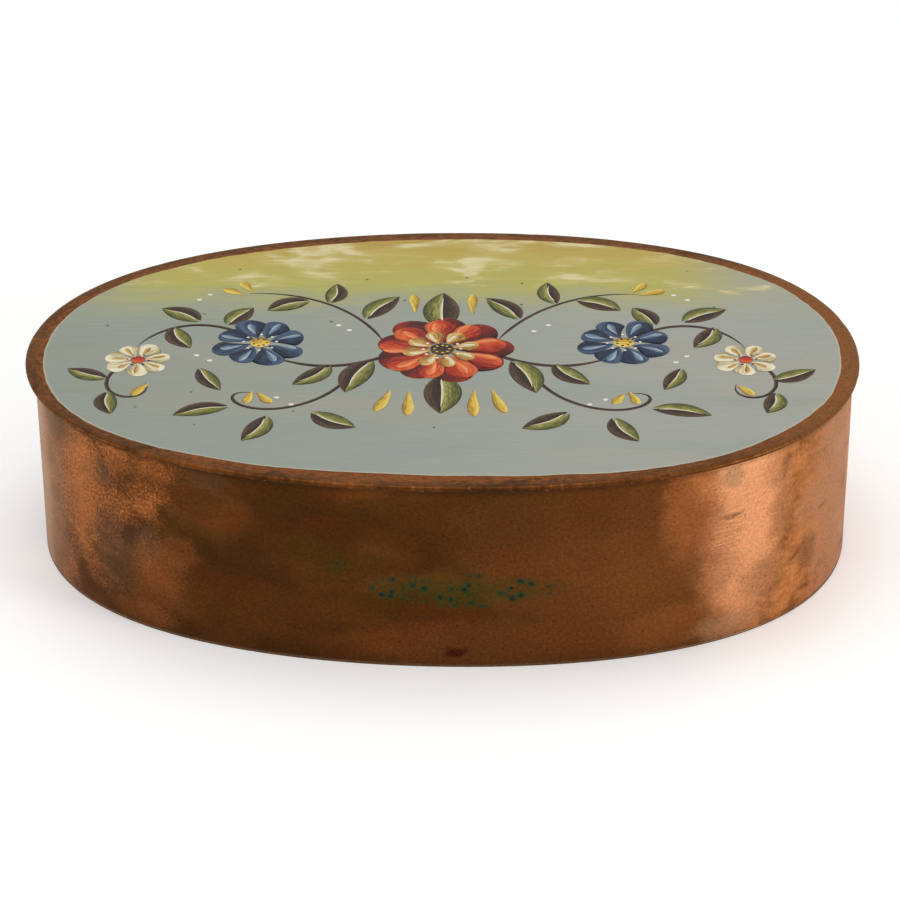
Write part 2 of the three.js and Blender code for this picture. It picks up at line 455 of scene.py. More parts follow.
# %% Marks of use
for x, height, width, tall, tint, most in (
    # its middle and how far it reaches, all in mm, its colour, and how much of it there is at most
    # the two far-left rows are a painted sheen where the end turns edge-on
    (-110, 28, 17, 60, PALE_END_SHEEN, 0.65),
    (-113, 24, 12, 60, GREY_END_SHEEN, 0.5),
    (-90, 21, 11, 17, DARK_SMUDGE, 0.6),
    (-80, 27, 7, 8, DARK_SMUDGE, 0.55),
    (-77, 21, 13, 9, BRIGHT_SPOT, 0.12),
    (-93, 44, 8, 6, DARK_SMUDGE, 0.6),
    # partly tarnish and partly painted shade under the lid's edge at the left end
    (-105, 52, 15, 9, DARK_SMUDGE, 0.62),
    (-88, 50, 6, 7, BRIGHT_SPOT, 0.25),
    (-78, 12, 12, 14, HALF_POLISHED, 0.25),
    (-71, 27, 8, 8, HALF_POLISHED, 0.25),
    (-28, 30, 4, 3, VERDIGRIS_STAIN, 0.3),
    (-63, 52, 9, 6, GREY_SMUDGE, 0.3),
    (-80, 38, 5, 4.5, BRIGHT_SPOT, 0.2),
    (-99, 38, 11, 26, BRIGHT_SPOT, 0.35),
    (-79, 50, 10, 5, BRIGHT_SPOT, 0.15),
    (-82, 4, 14, 5, HALF_POLISHED, 0.3),
    (-41, 15, 17, 11, LIGHT_FILM, 0.2),
    (20, 42, 26, 20, LIGHT_FILM, 0.32),
    (8, 7, 40, 11, LIGHT_FILM, 0.5),
    (61, 7, 18, 10, HALF_POLISHED, 0.3),
    (67, 44, 12, 19, HALF_POLISHED, 0.7),
    (108, 28, 16, 60, PINK_END, 0.6),
    (101, 17, 6, 8, BROWN_SMUDGE, 0.6),
    (101, 31, 9, 8, PINK_END, 0.5),
    (74, 23, 13, 8, BROWN_SMUDGE, 0.32),
    (90, 48, 8, 7, BROWN_SMUDGE, 0.2),
    (90, 4, 8, 4, BROWN_SMUDGE, 0.25),
    (93, 33, 7, 13, BROWN_SMUDGE, 0.45),
    (88, 16, 12, 9, BROWN_SMUDGE, 0.45),
    (77, 4, 14, 5, PALE_SMUDGE, 0.5),
    (78, 51, 5, 4, PALE_SMUDGE, 0.7),
    (78, 38.5, 4, 1.1, RED_SPOT, 0.5),
    (105, 28, 3, 1, RED_SPOT, 0.45),
    (4, 5, 4, 2.5, RED_SPOT, 0.8),
):
    mark = blot(tree, frayed, on_front(x, height), (width * MM, tall * MM))
    mark = add(tree, "ShaderNodeMath", {0: mark, 1: stippled}, operation="MULTIPLY").outputs[0]
    skin = lay(tree, skin, tint, mark, 0.0, 0.6, most)
print(len(tree.nodes), "nodes with the marks")

# %% [markdown]
# Verdigris is copper's green rust. Here damp has left a row of crusts, each about a millimetre
# across, in a faint green stain. They are the one part of the wall that isn't metal. The dots are
# laid twice, wide and pale for what each crust has bled, then small and dark for the crust, and a
# blot keeps them to their row.

# %% Verdigris
CRUST = 2.6 * MM
damp = blot(tree, frayed, on_front(5, 24), (36 * MM, 6.5 * MM))
skin = lay(tree, skin, VERDIGRIS_STAIN, damp, 0.0, 0.9, 0.5)
wet = add(tree, "ShaderNodeMapRange", {"Value": damp, "From Min": 0.2, "From Max": 0.35}).outputs[0]
uneven = wandering(tree, sheet, 1.2 * MM, 0.5 * MM)
for tint, solid, gone, full, most in (
    (VERDIGRIS_STAIN, 0.3, 0.75, 1.0, 0.7), (VERDIGRIS, 0.12, 0.5, 0.9, 0.95),
):
    crusted = dots(tree, uneven, CRUST, solid, gone, 0.35)
    crusted = add(tree, "ShaderNodeMath", {0: crusted, 1: wet}, operation="MULTIPLY").outputs[0]
    skin = lay(tree, skin, tint, crusted, 0.0, full, most)
print("crusts", round(CRUST / MM, 1), "mm apart")

# %% [markdown]
# Last come the fine things: grain and pits all over, hair scratches where a cloth has gone to and
# fro, the filed edge of the base, a painted shade under the lid's edge, and the gloss. Scratches are a noise
# drawn out twenty times longer than it is wide and laid on a slant. They are finer than a pixel on
# the real box, so they are drawn as coarse as the picture needs.

# %% Grain, scratches and gloss of the wall
PITS_APART = 2 * MM
PIT = colour("3A2010")
WIPED = colour("8A5230")
FILED_EDGE = colour("6A503A")  # the base sheet's edge, filed, dusty and paler than the wall
UNDER_LID_SHADE = colour("2E1C10")  # painted shade on the wall just under the lid's edge
slant = add(tree, "ShaderNodeMapping", {
    "Vector": sheet, "Rotation": (0, 0, math.radians(-14)), "Scale": (0.05, 1, 1),
})
hairs = add(tree, "ShaderNodeTexNoise", {
    "Vector": slant.outputs[0], "Scale": per(0.35 * MM), "Detail": 2.0,
}).outputs[0]
scored = blot(tree, frayed, on_front(70, 34), (26 * MM, 26 * MM))
for pattern, part, tint, start, most in (
    (hairs, scored, SCRATCHED, 0.22, 0.45), (smears, right_end, WIPED, 0.12, 0.35),
):
    cloth = add(tree, "ShaderNodeMath", {0: pattern, 1: part}, operation="MULTIPLY").outputs[0]
    skin = lay(tree, skin, tint, cloth, start, 0.42, most)
skin = lay(tree, skin, PIT, dots(tree, sheet, PITS_APART, 0.08, 0.2, 0.55), 0.0, 1.0, 0.55)
high = add(tree, "ShaderNodeSeparateXYZ", {0: sheet}).outputs[1]
# A paler filed line at the foot, and a band of painted shade on the wall just under the lid's edge.
for start, full, tint, most in (
    (1.2 * MM, 0.7 * MM, FILED_EDGE, 0.75), (52.2 * MM, 53.8 * MM, UNDER_LID_SHADE, 0.35),
):
    line = add(tree, "ShaderNodeMapRange", {"Value": high, "From Min": start, "From Max": full})
    skin = lay(tree, skin, tint, line.outputs[0], 0.0, 1.0, most)
skin = shaded(tree, skin, fine.outputs[0], 0.32, 0.68, 0.82, 1.17)
tree.links.new(skin, shader.inputs["Base Color"])
shader.inputs["Specular Tint"].default_value = GRAZED_FILM
for socket, bare, under_crust in (("Metallic", 1.0, 0.2), ("Specular IOR Level", 0.5, 0.08)):
    level = add(tree, "ShaderNodeMapRange", {"Value": crusted, "To Min": bare, "To Max": under_crust})
    tree.links.new(level.outputs[0], shader.inputs[socket])
gloss = add(tree, "ShaderNodeMapRange", {
    "Value": patches, "From Min": 0.25, "From Max": 0.75, "To Min": 0.52, "To Max": 0.38,
})
tree.links.new(gloss.outputs[0], shader.inputs["Roughness"])
relief = add(tree, "ShaderNodeBump", {"Height": hairs, "Strength": 0.3, "Distance": 0.03 * MM})
for height, strength, depth in (
    (fine.outputs[0], 0.3, 0.04 * MM), (smears, 0.4, 0.1 * MM), (crusted, 0.6, 0.15 * MM),
):
    relief = add(tree, "ShaderNodeBump", {
        "Height": height, "Strength": strength, "Distance": depth, "Normal": relief.outputs[0],
    })
tree.links.new(relief.outputs[0], shader.inputs["Normal"])
print("made", wall_copper.name)

# %% [markdown]
# The lid's border is the same copper, but it has been handled more evenly: brown all over, redder
# beside the paint, where the painter's rag never cleaned it, and brighter at the right-hand end. Its
# map runs along the rim and from the edge inwards, so the streaks follow the rim.

# %% Lid border
RIM_STREAK = colour("86481C")
RIM_GLINT = colour("C99F80")
lid_copper, tree, shader = new_material("tarnished_lid_copper")
sheet = add(tree, "ShaderNodeAttribute", attribute_name="map").outputs["Vector"]
ragged = wandering(tree, sheet, 9 * MM, 5 * MM)
drawn_out = add(tree, "ShaderNodeMapping", {"Vector": ragged, "Scale": (0.22, 0.22, 1)}).outputs[0]
clouds = add(tree, "ShaderNodeTexNoise", {"Vector": drawn_out, "Scale": per(4 * MM), "Detail": 4.0})
fine = add(tree, "ShaderNodeTexNoise", {"Vector": sheet, "Scale": per(0.9 * MM), "Detail": 3.0})
skin = add(tree, "ShaderNodeValToRGB", {0: clouds.outputs[0]}, stops=[
    (0.30, colour("442712")), (0.72, colour("6F4320")), (0.50, colour("593417")),
]).outputs[0]
where = add(tree, "ShaderNodeTexCoord").outputs["Object"]
bright_end = blot(tree, where, (LID_LENGTH / 2, 0), (90 * MM, 75 * MM))
skin = lay(tree, skin, colour("7E5029"), bright_end, 0.0, 0.6, 0.8)
streaks = add(tree, "ShaderNodeMapping", {"Vector": sheet, "Scale": (0.35, 0.35, 1)}).outputs[0]
streaks = add(tree, "ShaderNodeTexNoise", {"Vector": streaks, "Scale": per(0.9 * MM), "Detail": 4.0})
inwards = add(tree, "ShaderNodeSeparateXYZ", {0: sheet}).outputs[2]
by_paint = add(tree, "ShaderNodeMapRange", {
    "Value": inwards, "From Min": 1.5 * MM - lid_top, "From Max": BORDER_WIDTH - lid_top,
    "To Min": 0.0, "To Max": 0.22,
})
streaky = add(tree, "ShaderNodeMath", {0: streaks.outputs[0], 1: by_paint.outputs[0]}, operation="ADD")
skin = lay(tree, skin, RIM_STREAK, streaky.outputs[0], 0.52, 0.78, 0.7)
upwards = add(tree, "ShaderNodeSeparateXYZ", {0: where}).outputs[2]
on_fold = add(tree, "ShaderNodeMapRange", {
    "Value": upwards, "From Min": lid_underside + 0.35 * MM, "From Max": lid_underside + 0.9 * MM,
    "To Min": 0.5, "To Max": 0.0,
})
glints = add(tree, "ShaderNodeMath", {0: fine.outputs[0], 1: on_fold.outputs[0]}, operation="MULTIPLY")
glints = add(tree, "ShaderNodeMath", {0: bright_end, 1: 0.06, 2: glints.outputs[0]},
             operation="MULTIPLY_ADD")
skin = lay(tree, skin, RIM_GLINT, glints.outputs[0], 0.29, 0.34, 0.8)
skin = shaded(tree, skin, fine.outputs[0], 0.32, 0.68, 0.75, 1.2)
tree.links.new(skin, shader.inputs["Base Color"])
shader.inputs["Metallic"].default_value = 1.0
shader.inputs["Specular Tint"].default_value = GRAZED_FILM
gloss = add(tree, "ShaderNodeMapRange", {
    "Value": streaks.outputs[0], "From Min": 0.3, "From Max": 0.7, "To Min": 0.52, "To Max": 0.36,
})
tree.links.new(gloss.outputs[0], shader.inputs["Roughness"])
relief = add(tree, "ShaderNodeBump", {"Height": fine.outputs[0], "Strength": 0.5, "Distance": 0.08 * MM})
relief = add(tree, "ShaderNodeBump", {
    "Height": clouds.outputs[0], "Strength": 0.5, "Distance": 0.08 * MM, "Normal": relief.outputs[0],
})
tree.links.new(relief.outputs[0], shader.inputs["Normal"])
print("made", lid_copper.name)

# %% [markdown]
# Inside, nobody rubs the copper and little air moves, so it has only dulled: pinker than outside, with
# soft brown clouds and no bright wear. Soft solder is grey, dull and faintly frosted, because tin and
# lead set in small grains. The two differ only in numbers, so one function makes both.

# %% Inner copper and solder
DULL = 0.5  # the roughness of both
DULL_RANGE = 0.12  # how far it strays to either side


def quiet_metal(name, light, dark, size, lumps):
    material, tree, shader = new_material(name)
    where = add(tree, "ShaderNodeTexCoord").outputs["Object"]
    mottle = add(tree, "ShaderNodeTexNoise", {"Vector": where, "Scale": per(size), "Detail": 5.0})
    tint = add(tree, "ShaderNodeValToRGB", {0: mottle.outputs[0]}, stops=[(0.34, dark), (0.66, light)])
    tree.links.new(tint.outputs[0], shader.inputs["Base Color"])
    gloss = add(tree, "ShaderNodeMapRange", {
        "Value": mottle.outputs[0], "To Min": DULL + DULL_RANGE, "To Max": DULL - DULL_RANGE,
    })
    tree.links.new(gloss.outputs[0], shader.inputs["Roughness"])
    shader.inputs["Metallic"].default_value = 1.0
    relief = add(tree, "ShaderNodeBump", {"Height": mottle.outputs[0], "Strength": 0.4, "Distance": lumps})
    tree.links.new(relief.outputs[0], shader.inputs["Normal"])
    return material


inner_copper = quiet_metal("dull_inner_copper", colour("A66A48"), colour("6E4430"), 14 * MM, 0.1 * MM)
solder = quiet_metal("soft_solder", colour("827E74"), colour("59554D"), 2 * MM, 0.2 * MM)
print("made", inner_copper.name, "and", solder.name)

# %% [markdown]
# The ground is oil enamel, brushed on by hand: grey-blue over most of the lid, and towards the back a
# band of ochre with cream scumbled over it while it was wet. Enamel levels but keeps the brush's
# streaks, which run along the box. A dot of dirt has dried in here and there, and the edge, cut in
# with a small brush, has a thin pale line beside it, which fades out towards the back.

# %% Painted ground
OLD_PAINT_SHEEN = 0.15  # oil paint this old is dry and chalky and mirrors little of the room
BAND_START = 29 * MM  # how far back the ochre starts and where it is full
BAND_FULL = 80 * MM
DIRT_APART = 9 * MM
painted_ground, tree, shader = new_material("brushed_ground_enamel")
where = add(tree, "ShaderNodeTexCoord").outputs["Object"]
edge = add(tree, "ShaderNodeAttribute", attribute_name="edge").outputs["Fac"]
stretched = add(tree, "ShaderNodeMapping", {"Vector": where, "Scale": (0.25, 1, 1)}).outputs[0]
drift = add(tree, "ShaderNodeTexNoise", {"Vector": stretched, "Scale": per(9 * MM), "Detail": 4.0})
streak = add(tree, "ShaderNodeMapping", {"Vector": where, "Scale": (0.06, 1, 1)}).outputs[0]
bristles = add(tree, "ShaderNodeTexNoise", {"Vector": streak, "Scale": per(0.8 * MM), "Detail": 3.0})
split = add(tree, "ShaderNodeSeparateXYZ", {0: where}).outputs

# How far back, bent so that the band follows the outline's curve
bent = add(tree, "ShaderNodeMath", {0: split[0], 1: split[0]}, operation="MULTIPLY")
bent = add(tree, "ShaderNodeMath", {0: bent.outputs[0], 1: 0.5, 2: split[1]}, operation="MULTIPLY_ADD")
dabbed = add(tree, "ShaderNodeMapping", {"Vector": where, "Scale": (0.4, 1, 1)}).outputs[0]
dabs = add(tree, "ShaderNodeTexNoise", {
    "Vector": dabbed, "Scale": per(6 * MM), "Detail": 5.0, "Roughness": 0.6,
})
wavy = add(tree, "ShaderNodeMath", {0: dabs.outputs[0], 1: 24 * MM, 2: bent.outputs[0]},
           operation="MULTIPLY_ADD")
band = add(tree, "ShaderNodeMapRange", {
    "Value": wavy.outputs[0], "From Min": BAND_START, "From Max": BAND_FULL,
}).outputs[0]
ground = add(tree, "ShaderNodeMapRange", {"Value": split[0], "From Min": -0.1, "From Max": 0.06}).outputs[0]
ground = add(tree, "ShaderNodeMix", {
    MIX_FACTOR: ground, MIX_A: colour("90968A"), MIX_B: colour("A0A299"),
}, data_type="RGBA").outputs[MIX_COLOUR]
ochre = add(tree, "ShaderNodeValToRGB", {0: band}, stops=[
    (0.0, colour("9FA286")), (1.0, colour("B2974E")), (0.25, colour("A8A771")),
    (0.5, colour("B0AA5E")), (0.8, colour("B8A658")),
]).outputs[0]
mood = add(tree, "ShaderNodeTexNoise", {"Vector": stretched, "Scale": per(26 * MM), "Detail": 3.0})
mood = add(tree, "ShaderNodeSeparateXYZ", {0: mood.outputs["Color"]}).outputs
ground = lay(tree, ground, colour("A49B8D"), mood[0], 0.48, 0.66, 0.35)
ground = lay(tree, ground, colour("909A92"), mood[1], 0.48, 0.66, 0.5)
paint = lay(tree, ground, ochre, band, 0.0, 0.5)
ends = add(tree, "ShaderNodeMath", {0: split[0], 1: 8 * MM})
ends = add(tree, "ShaderNodeMath", {0: ends.outputs[0]}, operation="ABSOLUTE")
ends = add(tree, "ShaderNodeMapRange", {
    "Value": ends.outputs[0], "From Min": 66 * MM, "From Max": 104 * MM,
})
paint = lay(tree, paint, ground, ends.outputs[0], 0.0, 1.0, 0.8)
print("the ochre starts", round(BAND_START / MM), "mm back and is full at", round(BAND_FULL / MM))

# %% Cream scumble
swept = add(tree, "ShaderNodeMapping", {"Vector": where, "Scale": (0.42, 1, 1)}).outputs[0]
scumble = add(tree, "ShaderNodeTexNoise", {
    "Vector": swept, "Scale": per(8 * MM), "Detail": 5.0, "Distortion": 0.5,
})
scumble = add(tree, "ShaderNodeMath", {0: bristles.outputs[0], 1: 0.14, 2: scumble.outputs[0]},
              operation="MULTIPLY_ADD")
in_band = add(tree, "ShaderNodeMapRange", {"Value": band, "From Min": 0.22, "From Max": 0.48}).outputs[0]
scumble = add(tree, "ShaderNodeMath", {0: scumble.outputs[0], 1: in_band}, operation="MULTIPLY")
paint = lay(tree, paint, colour("CBC084"), scumble.outputs[0], 0.52, 0.72, 0.55)
paint = lay(tree, paint, colour("E0D4AA"), scumble.outputs[0], 0.61, 0.76, 0.7)
paint = shaded(tree, paint, bristles.outputs[0], 0.3, 0.7, 0.96, 1.03)
print(len(tree.nodes), "nodes for the ground, its band and the scumble")

# %% Dirt, pale edge line and relief of the ground
dirt = dots(tree, where, DIRT_APART, 0.03, 0.07, 0.45)
paint = lay(tree, paint, colour("3A332B"), dirt, 0.0, 1.0, 0.8)
# A thin pale line along the paint's edge, strongest at the front and fading towards the back.
pale_edge_line = add(tree, "ShaderNodeMapRange", {
    "Value": edge, "From Min": 0.35 * MM, "From Max": 0.75 * MM, "To Min": 1.0, "To Max": 0.0,
})
in_front = add(tree, "ShaderNodeMapRange", {
    "Value": split[1], "From Min": 20 * MM, "From Max": 50 * MM, "To Min": 1.0, "To Max": 0.1,
})
pale_edge_line = add(tree, "ShaderNodeMath", {0: pale_edge_line.outputs[0], 1: in_front.outputs[0]}, operation="MULTIPLY")
paint = lay(tree, paint, colour("B5AC98"), pale_edge_line.outputs[0], 0.0, 1.0, 0.7)
tree.links.new(paint, shader.inputs["Base Color"])
shader.inputs["Specular IOR Level"].default_value = OLD_PAINT_SHEEN
gloss = add(tree, "ShaderNodeMapRange", {
    "Value": drift.outputs[0], "From Min": 0.3, "From Max": 0.7, "To Min": 0.62, "To Max": 0.54,
})
tree.links.new(gloss.outputs[0], shader.inputs["Roughness"])
relief = add(tree, "ShaderNodeBump", {
    "Height": bristles.outputs[0], "Strength": 0.35, "Distance": 0.05 * MM,
})
relief = add(tree, "ShaderNodeBump", {
    "Height": dirt, "Strength": 0.5, "Distance": 0.1 * MM, "Normal": relief.outputs[0],
})
tree.links.new(relief.outputs[0], shader.inputs["Normal"])
print("made", painted_ground.name)

# %% [markdown]
# Building blocks. A sheet-metal piece here is one of two things. A strip is a flat grid that is bent
# round the outline and then given its thickness, just as the smith bends it. Everything else is
# swept: a ring of points is laid down and extruded again and again, and each new ring is moved to
# where the shape has got to. A number kept on each vertex says which point of the ring it is.

# %% Helpers for pieces
LAP_SHARE = LAP_LENGTH / OUTLINE_LENGTH
BEND_END_SHARE = 1 - JOGGLE_TOE / OUTLINE_LENGTH
BEND_START_SHARE = BEND_END_SHARE - JOGGLE_LENGTH / OUTLINE_LENGTH
LAP_RISE = GAUGE + SEAM_FILM
RING_STEPS = 720
STRIP_STEPS = 1000
STRIP_ROWS = 14
LONG_WAVE = 60 * MM
SHORT_WAVE = 22 * MM


def rise(share):
    """How far a strip has crossed over its other end at a share of the way round, past 1 in the lap."""
    t = min(1, max(0, (share - BEND_START_SHARE) / (BEND_END_SHARE - BEND_START_SHARE)))
    return LAP_RISE * t * t * (3 - 2 * t)


def covered_rise(share):
    return LAP_RISE if share % 1 <= LAP_SHARE else rise(share % 1)


def finish_piece(name, bm, materials, body, slot, *nodes):
    """Makes the mesh an object, gives it its finishes and lets it ride on its body."""
    for face in bm.faces:
        face.smooth = True
    data = bpy.data.meshes.new(name)
    bm.to_mesh(data)
    bm.free()
    for material in materials:
        data.materials.append(material)
    piece = bpy.data.objects.new(name, data)
    bpy.context.scene.collection.objects.link(piece)
    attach(piece, body)
    if nodes:
        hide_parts(*nodes)
    print(f"{name}: {len(data.polygons)} faces")


def layer(kind, name):
    """The layer of this name in a mesh's vertices, made if it isn't there."""
    return kind.get(name) or kind.new(name)


def sweep(bm, rings, maps=None, closed=False):
    """Extrudes a ring of points through all the rings, then caps the ends or joins them. Each vertex
    keeps its number in its ring, its ring's number and, from maps, its place on the map."""
    number = layer(bm.verts.layers.int, "number")
    ring_number = layer(bm.verts.layers.int, "ring")
    spot = layer(bm.verts.layers.float_vector, "map")
    verts = [bm.verts.new(point) for point in rings[0]]
    for i, v in enumerate(verts):
        v[number] = i
    edges = [bm.edges.new(pair) for pair in zip(verts, verts[1:] + verts[:1])]
    first_edges = edges
    for step, ring in enumerate(rings):
        if step:
            made = bmesh.ops.extrude_edge_only(bm, edges=edges)["geom"]
            verts = [g for g in made if isinstance(g, bmesh.types.BMVert)]
            edges = [g for g in made if isinstance(g, bmesh.types.BMEdge)]
        for v in verts:
            v.co = ring[v[number]]
            v[ring_number] = step
            if maps:
                v[spot] = maps[step][v[number]]
    if closed:
        bmesh.ops.bridge_loops(bm, edges=first_edges + edges)
    else:
        for loop in (first_edges, edges):
            bmesh.ops.edgeloop_fill(bm, edges=loop)


def carried_round(section, shift=0.0, closed=False):
    """A section carried round the outline. Each corner is an inset, a height and, if it isn't 1, how
    far the ring is drawn in to the middle. Inset and height may be functions of the share. The map is
    rolled up to a tube as long round as the outline, so that no pattern on it has a seam."""
    shares = [i / RING_STEPS for i in range(RING_STEPS)]
    tube = OUTLINE_LENGTH / (2 * math.pi)
    rings, maps = [], []
    for inset, height, *drawn in section:
        scale = drawn[0] if drawn else 1
        ring, mapped = [], []
        for share in shares:
            in_by = inset(share) if callable(inset) else inset
            z = height(share) if callable(height) else height
            x, y = place(share, in_by)
            ring.append((x * scale + shift, y * scale, z))
            turn = 2 * math.pi * share
            mapped.append((-tube * math.sin(turn), tube * math.cos(turn), in_by - z))
        rings.append(ring)
        maps.append(mapped)
    bm = bmesh.new()
    sweep(bm, rings, maps, closed)
    bmesh.ops.recalc_face_normals(bm, faces=bm.faces[:])
    return bm


def bent_strip(outer_inset, side, bottom, top, shift, dent, rows=STRIP_ROWS):
    """A strip bent round the outline whose last end laps the first. side is 1 inwards, -1 outwards."""
    bm = bmesh.new()
    spot = layer(bm.verts.layers.float_vector, "map")
    bmesh.ops.create_grid(bm, x_segments=STRIP_STEPS, y_segments=rows, size=1)
    for v in bm.verts:
        share = (v.co.x + 1) / 2 * (1 + LAP_SHARE)
        up = (v.co.y + 1) / 2
        held = math.sin(math.pi * min(1, max(0, up)))  # base and lid hold its edges true
        wave = hand(share, LONG_WAVE, 3 + up) + 0.4 * hand(share, SHORT_WAVE, 8 + 2 * up)
        x, y = place(share, outer_inset + side * rise(share) + dent * held * wave)
        height = bottom + (top - bottom) * up
        v.co = (x + shift, y, height)
        v[spot] = (share * OUTLINE_LENGTH, height, 0)
    bm.normal_update()
    if max(bm.faces, key=lambda face: face.calc_center_median().x).normal.x < 0:
        bmesh.ops.reverse_faces(bm, faces=bm.faces[:])
    bm.normal_update()
    bmesh.ops.solidify(bm, geom=bm.faces[:], thickness=GAUGE)
    bmesh.ops.recalc_face_normals(bm, faces=bm.faces[:])
    rims = [e for e in bm.edges if e.calc_face_angle(0) > math.radians(60)]
    bmesh.ops.bevel(
        bm, geom=rims, offset=0.12 * MM, affect="EDGES", segments=2, profile=0.5, material=-1,
    )
    for face in bm.faces:
        face.material_index = int(face.normal.xy.dot(face.calc_center_median().xy) < 0)
    return bm


print(f"a lap is {LAP_LENGTH / MM:.0f} mm long and lifts the strip by {LAP_RISE / MM:.2f} mm")

# %% [markdown]
# The wall is one strip, bent round and lapped at the middle of the back. Sheet this thin never stays
# true: it waves by a quarter of a millimetre between the base and the lid, and those waves are what
# makes its reflections wander. Its inner faces get the duller finish of the inside.

# %% Wall
WALL_DENT = 0.25 * MM
wall_inset = LID_OVERHANG
bm = bent_strip(wall_inset, -1, base_top, lid_underside, seat_play, WALL_DENT)
finish_piece("wall", bm, [wall_copper, inner_copper], "box_body", "wall_copper", "body_wall")

# %% [markdown]
# The base is a sheet trimmed flush with the wall, lap and all. A file has broken its edge, which is
# the fine line of light at the foot of the box.

# %% Base
BROKEN_EDGE = 0.12 * MM
UNDERSIDE_AWAY = 1.0  # off the strip's map, where none of the wall's marks lie
UNDERSIDE_HEIGHT = 30 * MM


def base_inset(share):
    return wall_inset - covered_rise(share)


def base_inset_filed(share):
    return base_inset(share) + BROKEN_EDGE


section = [
    (base_inset, base_top, 0.3),
    (base_inset, base_top, 0.8),
    (base_inset_filed, base_top),
    (base_inset, base_top - BROKEN_EDGE),
    (base_inset, BROKEN_EDGE),
    (base_inset_filed, 0),
    (base_inset_filed, 0, 0.995),
    (base_inset, 0, 0.8),
    (base_inset, 0, 0.3),
]
bm = carried_round(section, seat_play)
spot = bm.verts.layers.float_vector["map"]
number = bm.verts.layers.int["number"]
ring_number = bm.verts.layers.int["ring"]
for v in bm.verts:
    on_edge = 2 <= v[ring_number] <= 5
    along = v[number] / RING_STEPS * OUTLINE_LENGTH
    underneath = (v.co.x + UNDERSIDE_AWAY, UNDERSIDE_HEIGHT, v.co.y)
    v[spot] = (along, v.co.z, 0) if on_edge else underneath
for face in bm.faces:
    face.material_index = int(face.normal.z > 0.9)
finish_piece("base", bm, [wall_copper, inner_copper], "box_body", "wall_copper", "base_plate")

# %% [markdown]
# The lid is one sheet whose edge is folded under, so its rim is round and two sheets thick. The fold
# was made by eye: its line wanders by a fraction of a millimetre, and small knocks have flattened it
# here and there.

# %% Lid with its folded edge
FOLD_STEPS = 8
RIM_WANDER = 0.2 * MM
KNOCK_APART = 9 * MM
KNOCK_DEPTH = 0.5 * MM
fold_radius = (lid_top - lid_underside) / 2


def rim(inset):
    """The inset of a corner near the rim, which wanders less the further in it lies."""
    held = max(0, 1 - inset / HEM_WIDTH)

    def uneven(share):
        knocks = max(0, hand(share, KNOCK_APART, 31) - 0.35) * KNOCK_DEPTH
        return inset + held * (RIM_WANDER * hand(share, 40 * MM, 21) + knocks)

    return uneven


section = [(HEM_WIDTH, lid_top, 0.3), (HEM_WIDTH, lid_top, 0.8), (HEM_WIDTH, lid_top)]
section += [(rim(inset * MM), lid_top) for inset in (5, 3, 1.6)]
for i in range(FOLD_STEPS + 1):
    turn = math.pi * (0.5 - i / FOLD_STEPS)
    inset = fold_radius * (1 - math.cos(turn))
    section.append((rim(inset), lid_underside + fold_radius * (1 + math.sin(turn))))
section += [(rim(inset * MM), lid_underside) for inset in (2, 4)]
section += [
    (HEM_WIDTH - BROKEN_EDGE, lid_underside),
    (HEM_WIDTH, lid_underside + BROKEN_EDGE),
    (HEM_WIDTH, lid_underside + GAUGE),
    (fold_radius, lid_underside + GAUGE),
    (fold_radius, lid_top - GAUGE),
    (HEM_WIDTH, lid_top - GAUGE),
    (HEM_WIDTH, lid_top - GAUGE, 0.8),
    (HEM_WIDTH, lid_top - GAUGE, 0.3),
]
bm = carried_round(section)
for face in bm.faces:
    face.material_index = int(face.normal.z < -0.9)
finish_piece("lid", bm, [lid_copper, inner_copper], "lid", "lid_copper", "lid_plate")

# %% [markdown]
# The flange is a second, lower strip that lies just inside the wall and keeps the lid in place. Its
# ends lap inwards, so the outside that slides in the wall stays smooth.

# %% Flange
FLANGE_DENT = 0.1 * MM
FLANGE_ROWS = 5
flange_inset = wall_inset + GAUGE + FLANGE_CLEARANCE
bm = bent_strip(flange_inset, 1, flange_bottom, lid_underside, 0, FLANGE_DENT, FLANGE_ROWS)
finish_piece("flange", bm, [inner_copper, inner_copper], "lid", "inner_copper", "lid_flange")

# %% [markdown]
# Solder runs into a corner and sets with a hollow face. A soldering iron leaves it uneven: it climbs
# a little higher where it was hotter, and it is never the same width for long.

# %% Soldered corners
HOLLOW_STEPS = 5


def fillet(corner_height, up, inset_at, shift, seed):
    def leg(share, which):
        uneven = 0.2 * hand(share, 14 * MM, seed + which) + 0.15 * hand(share, 5 * MM, seed - which)
        return SOLDER_LEG * (0.9 + uneven)

    def corner(inward, upward):
        return (
            lambda share: inset_at(share) + inward * leg(share, 1),
            lambda share: corner_height + up * upward * leg(share, 2),
        )

    section = [corner(0, 0)]
    for i in range(HOLLOW_STEPS + 1):
        turn = math.pi / 2 * (1 - i / HOLLOW_STEPS)
        section.append(corner(1 - math.sin(turn), 1 - math.cos(turn)))
    return carried_round(section, shift, closed=True)


wall_inner_inset = wall_inset + GAUGE
flange_inner_inset = flange_inset + GAUGE
bm = fillet(base_top, 1, lambda share: wall_inner_inset - rise(share), seat_play, 41)
finish_piece("base_corner_solder", bm, [solder], "box_body", "solder", "base_solder")
bm = fillet(lid_underside, -1, lambda share: flange_inner_inset + covered_rise(share), 0, 51)
finish_piece("lid_corner_solder", bm, [solder], "lid", "solder", "lid_solder")

# %% Soldered seams
SEAM_ROWS = 60


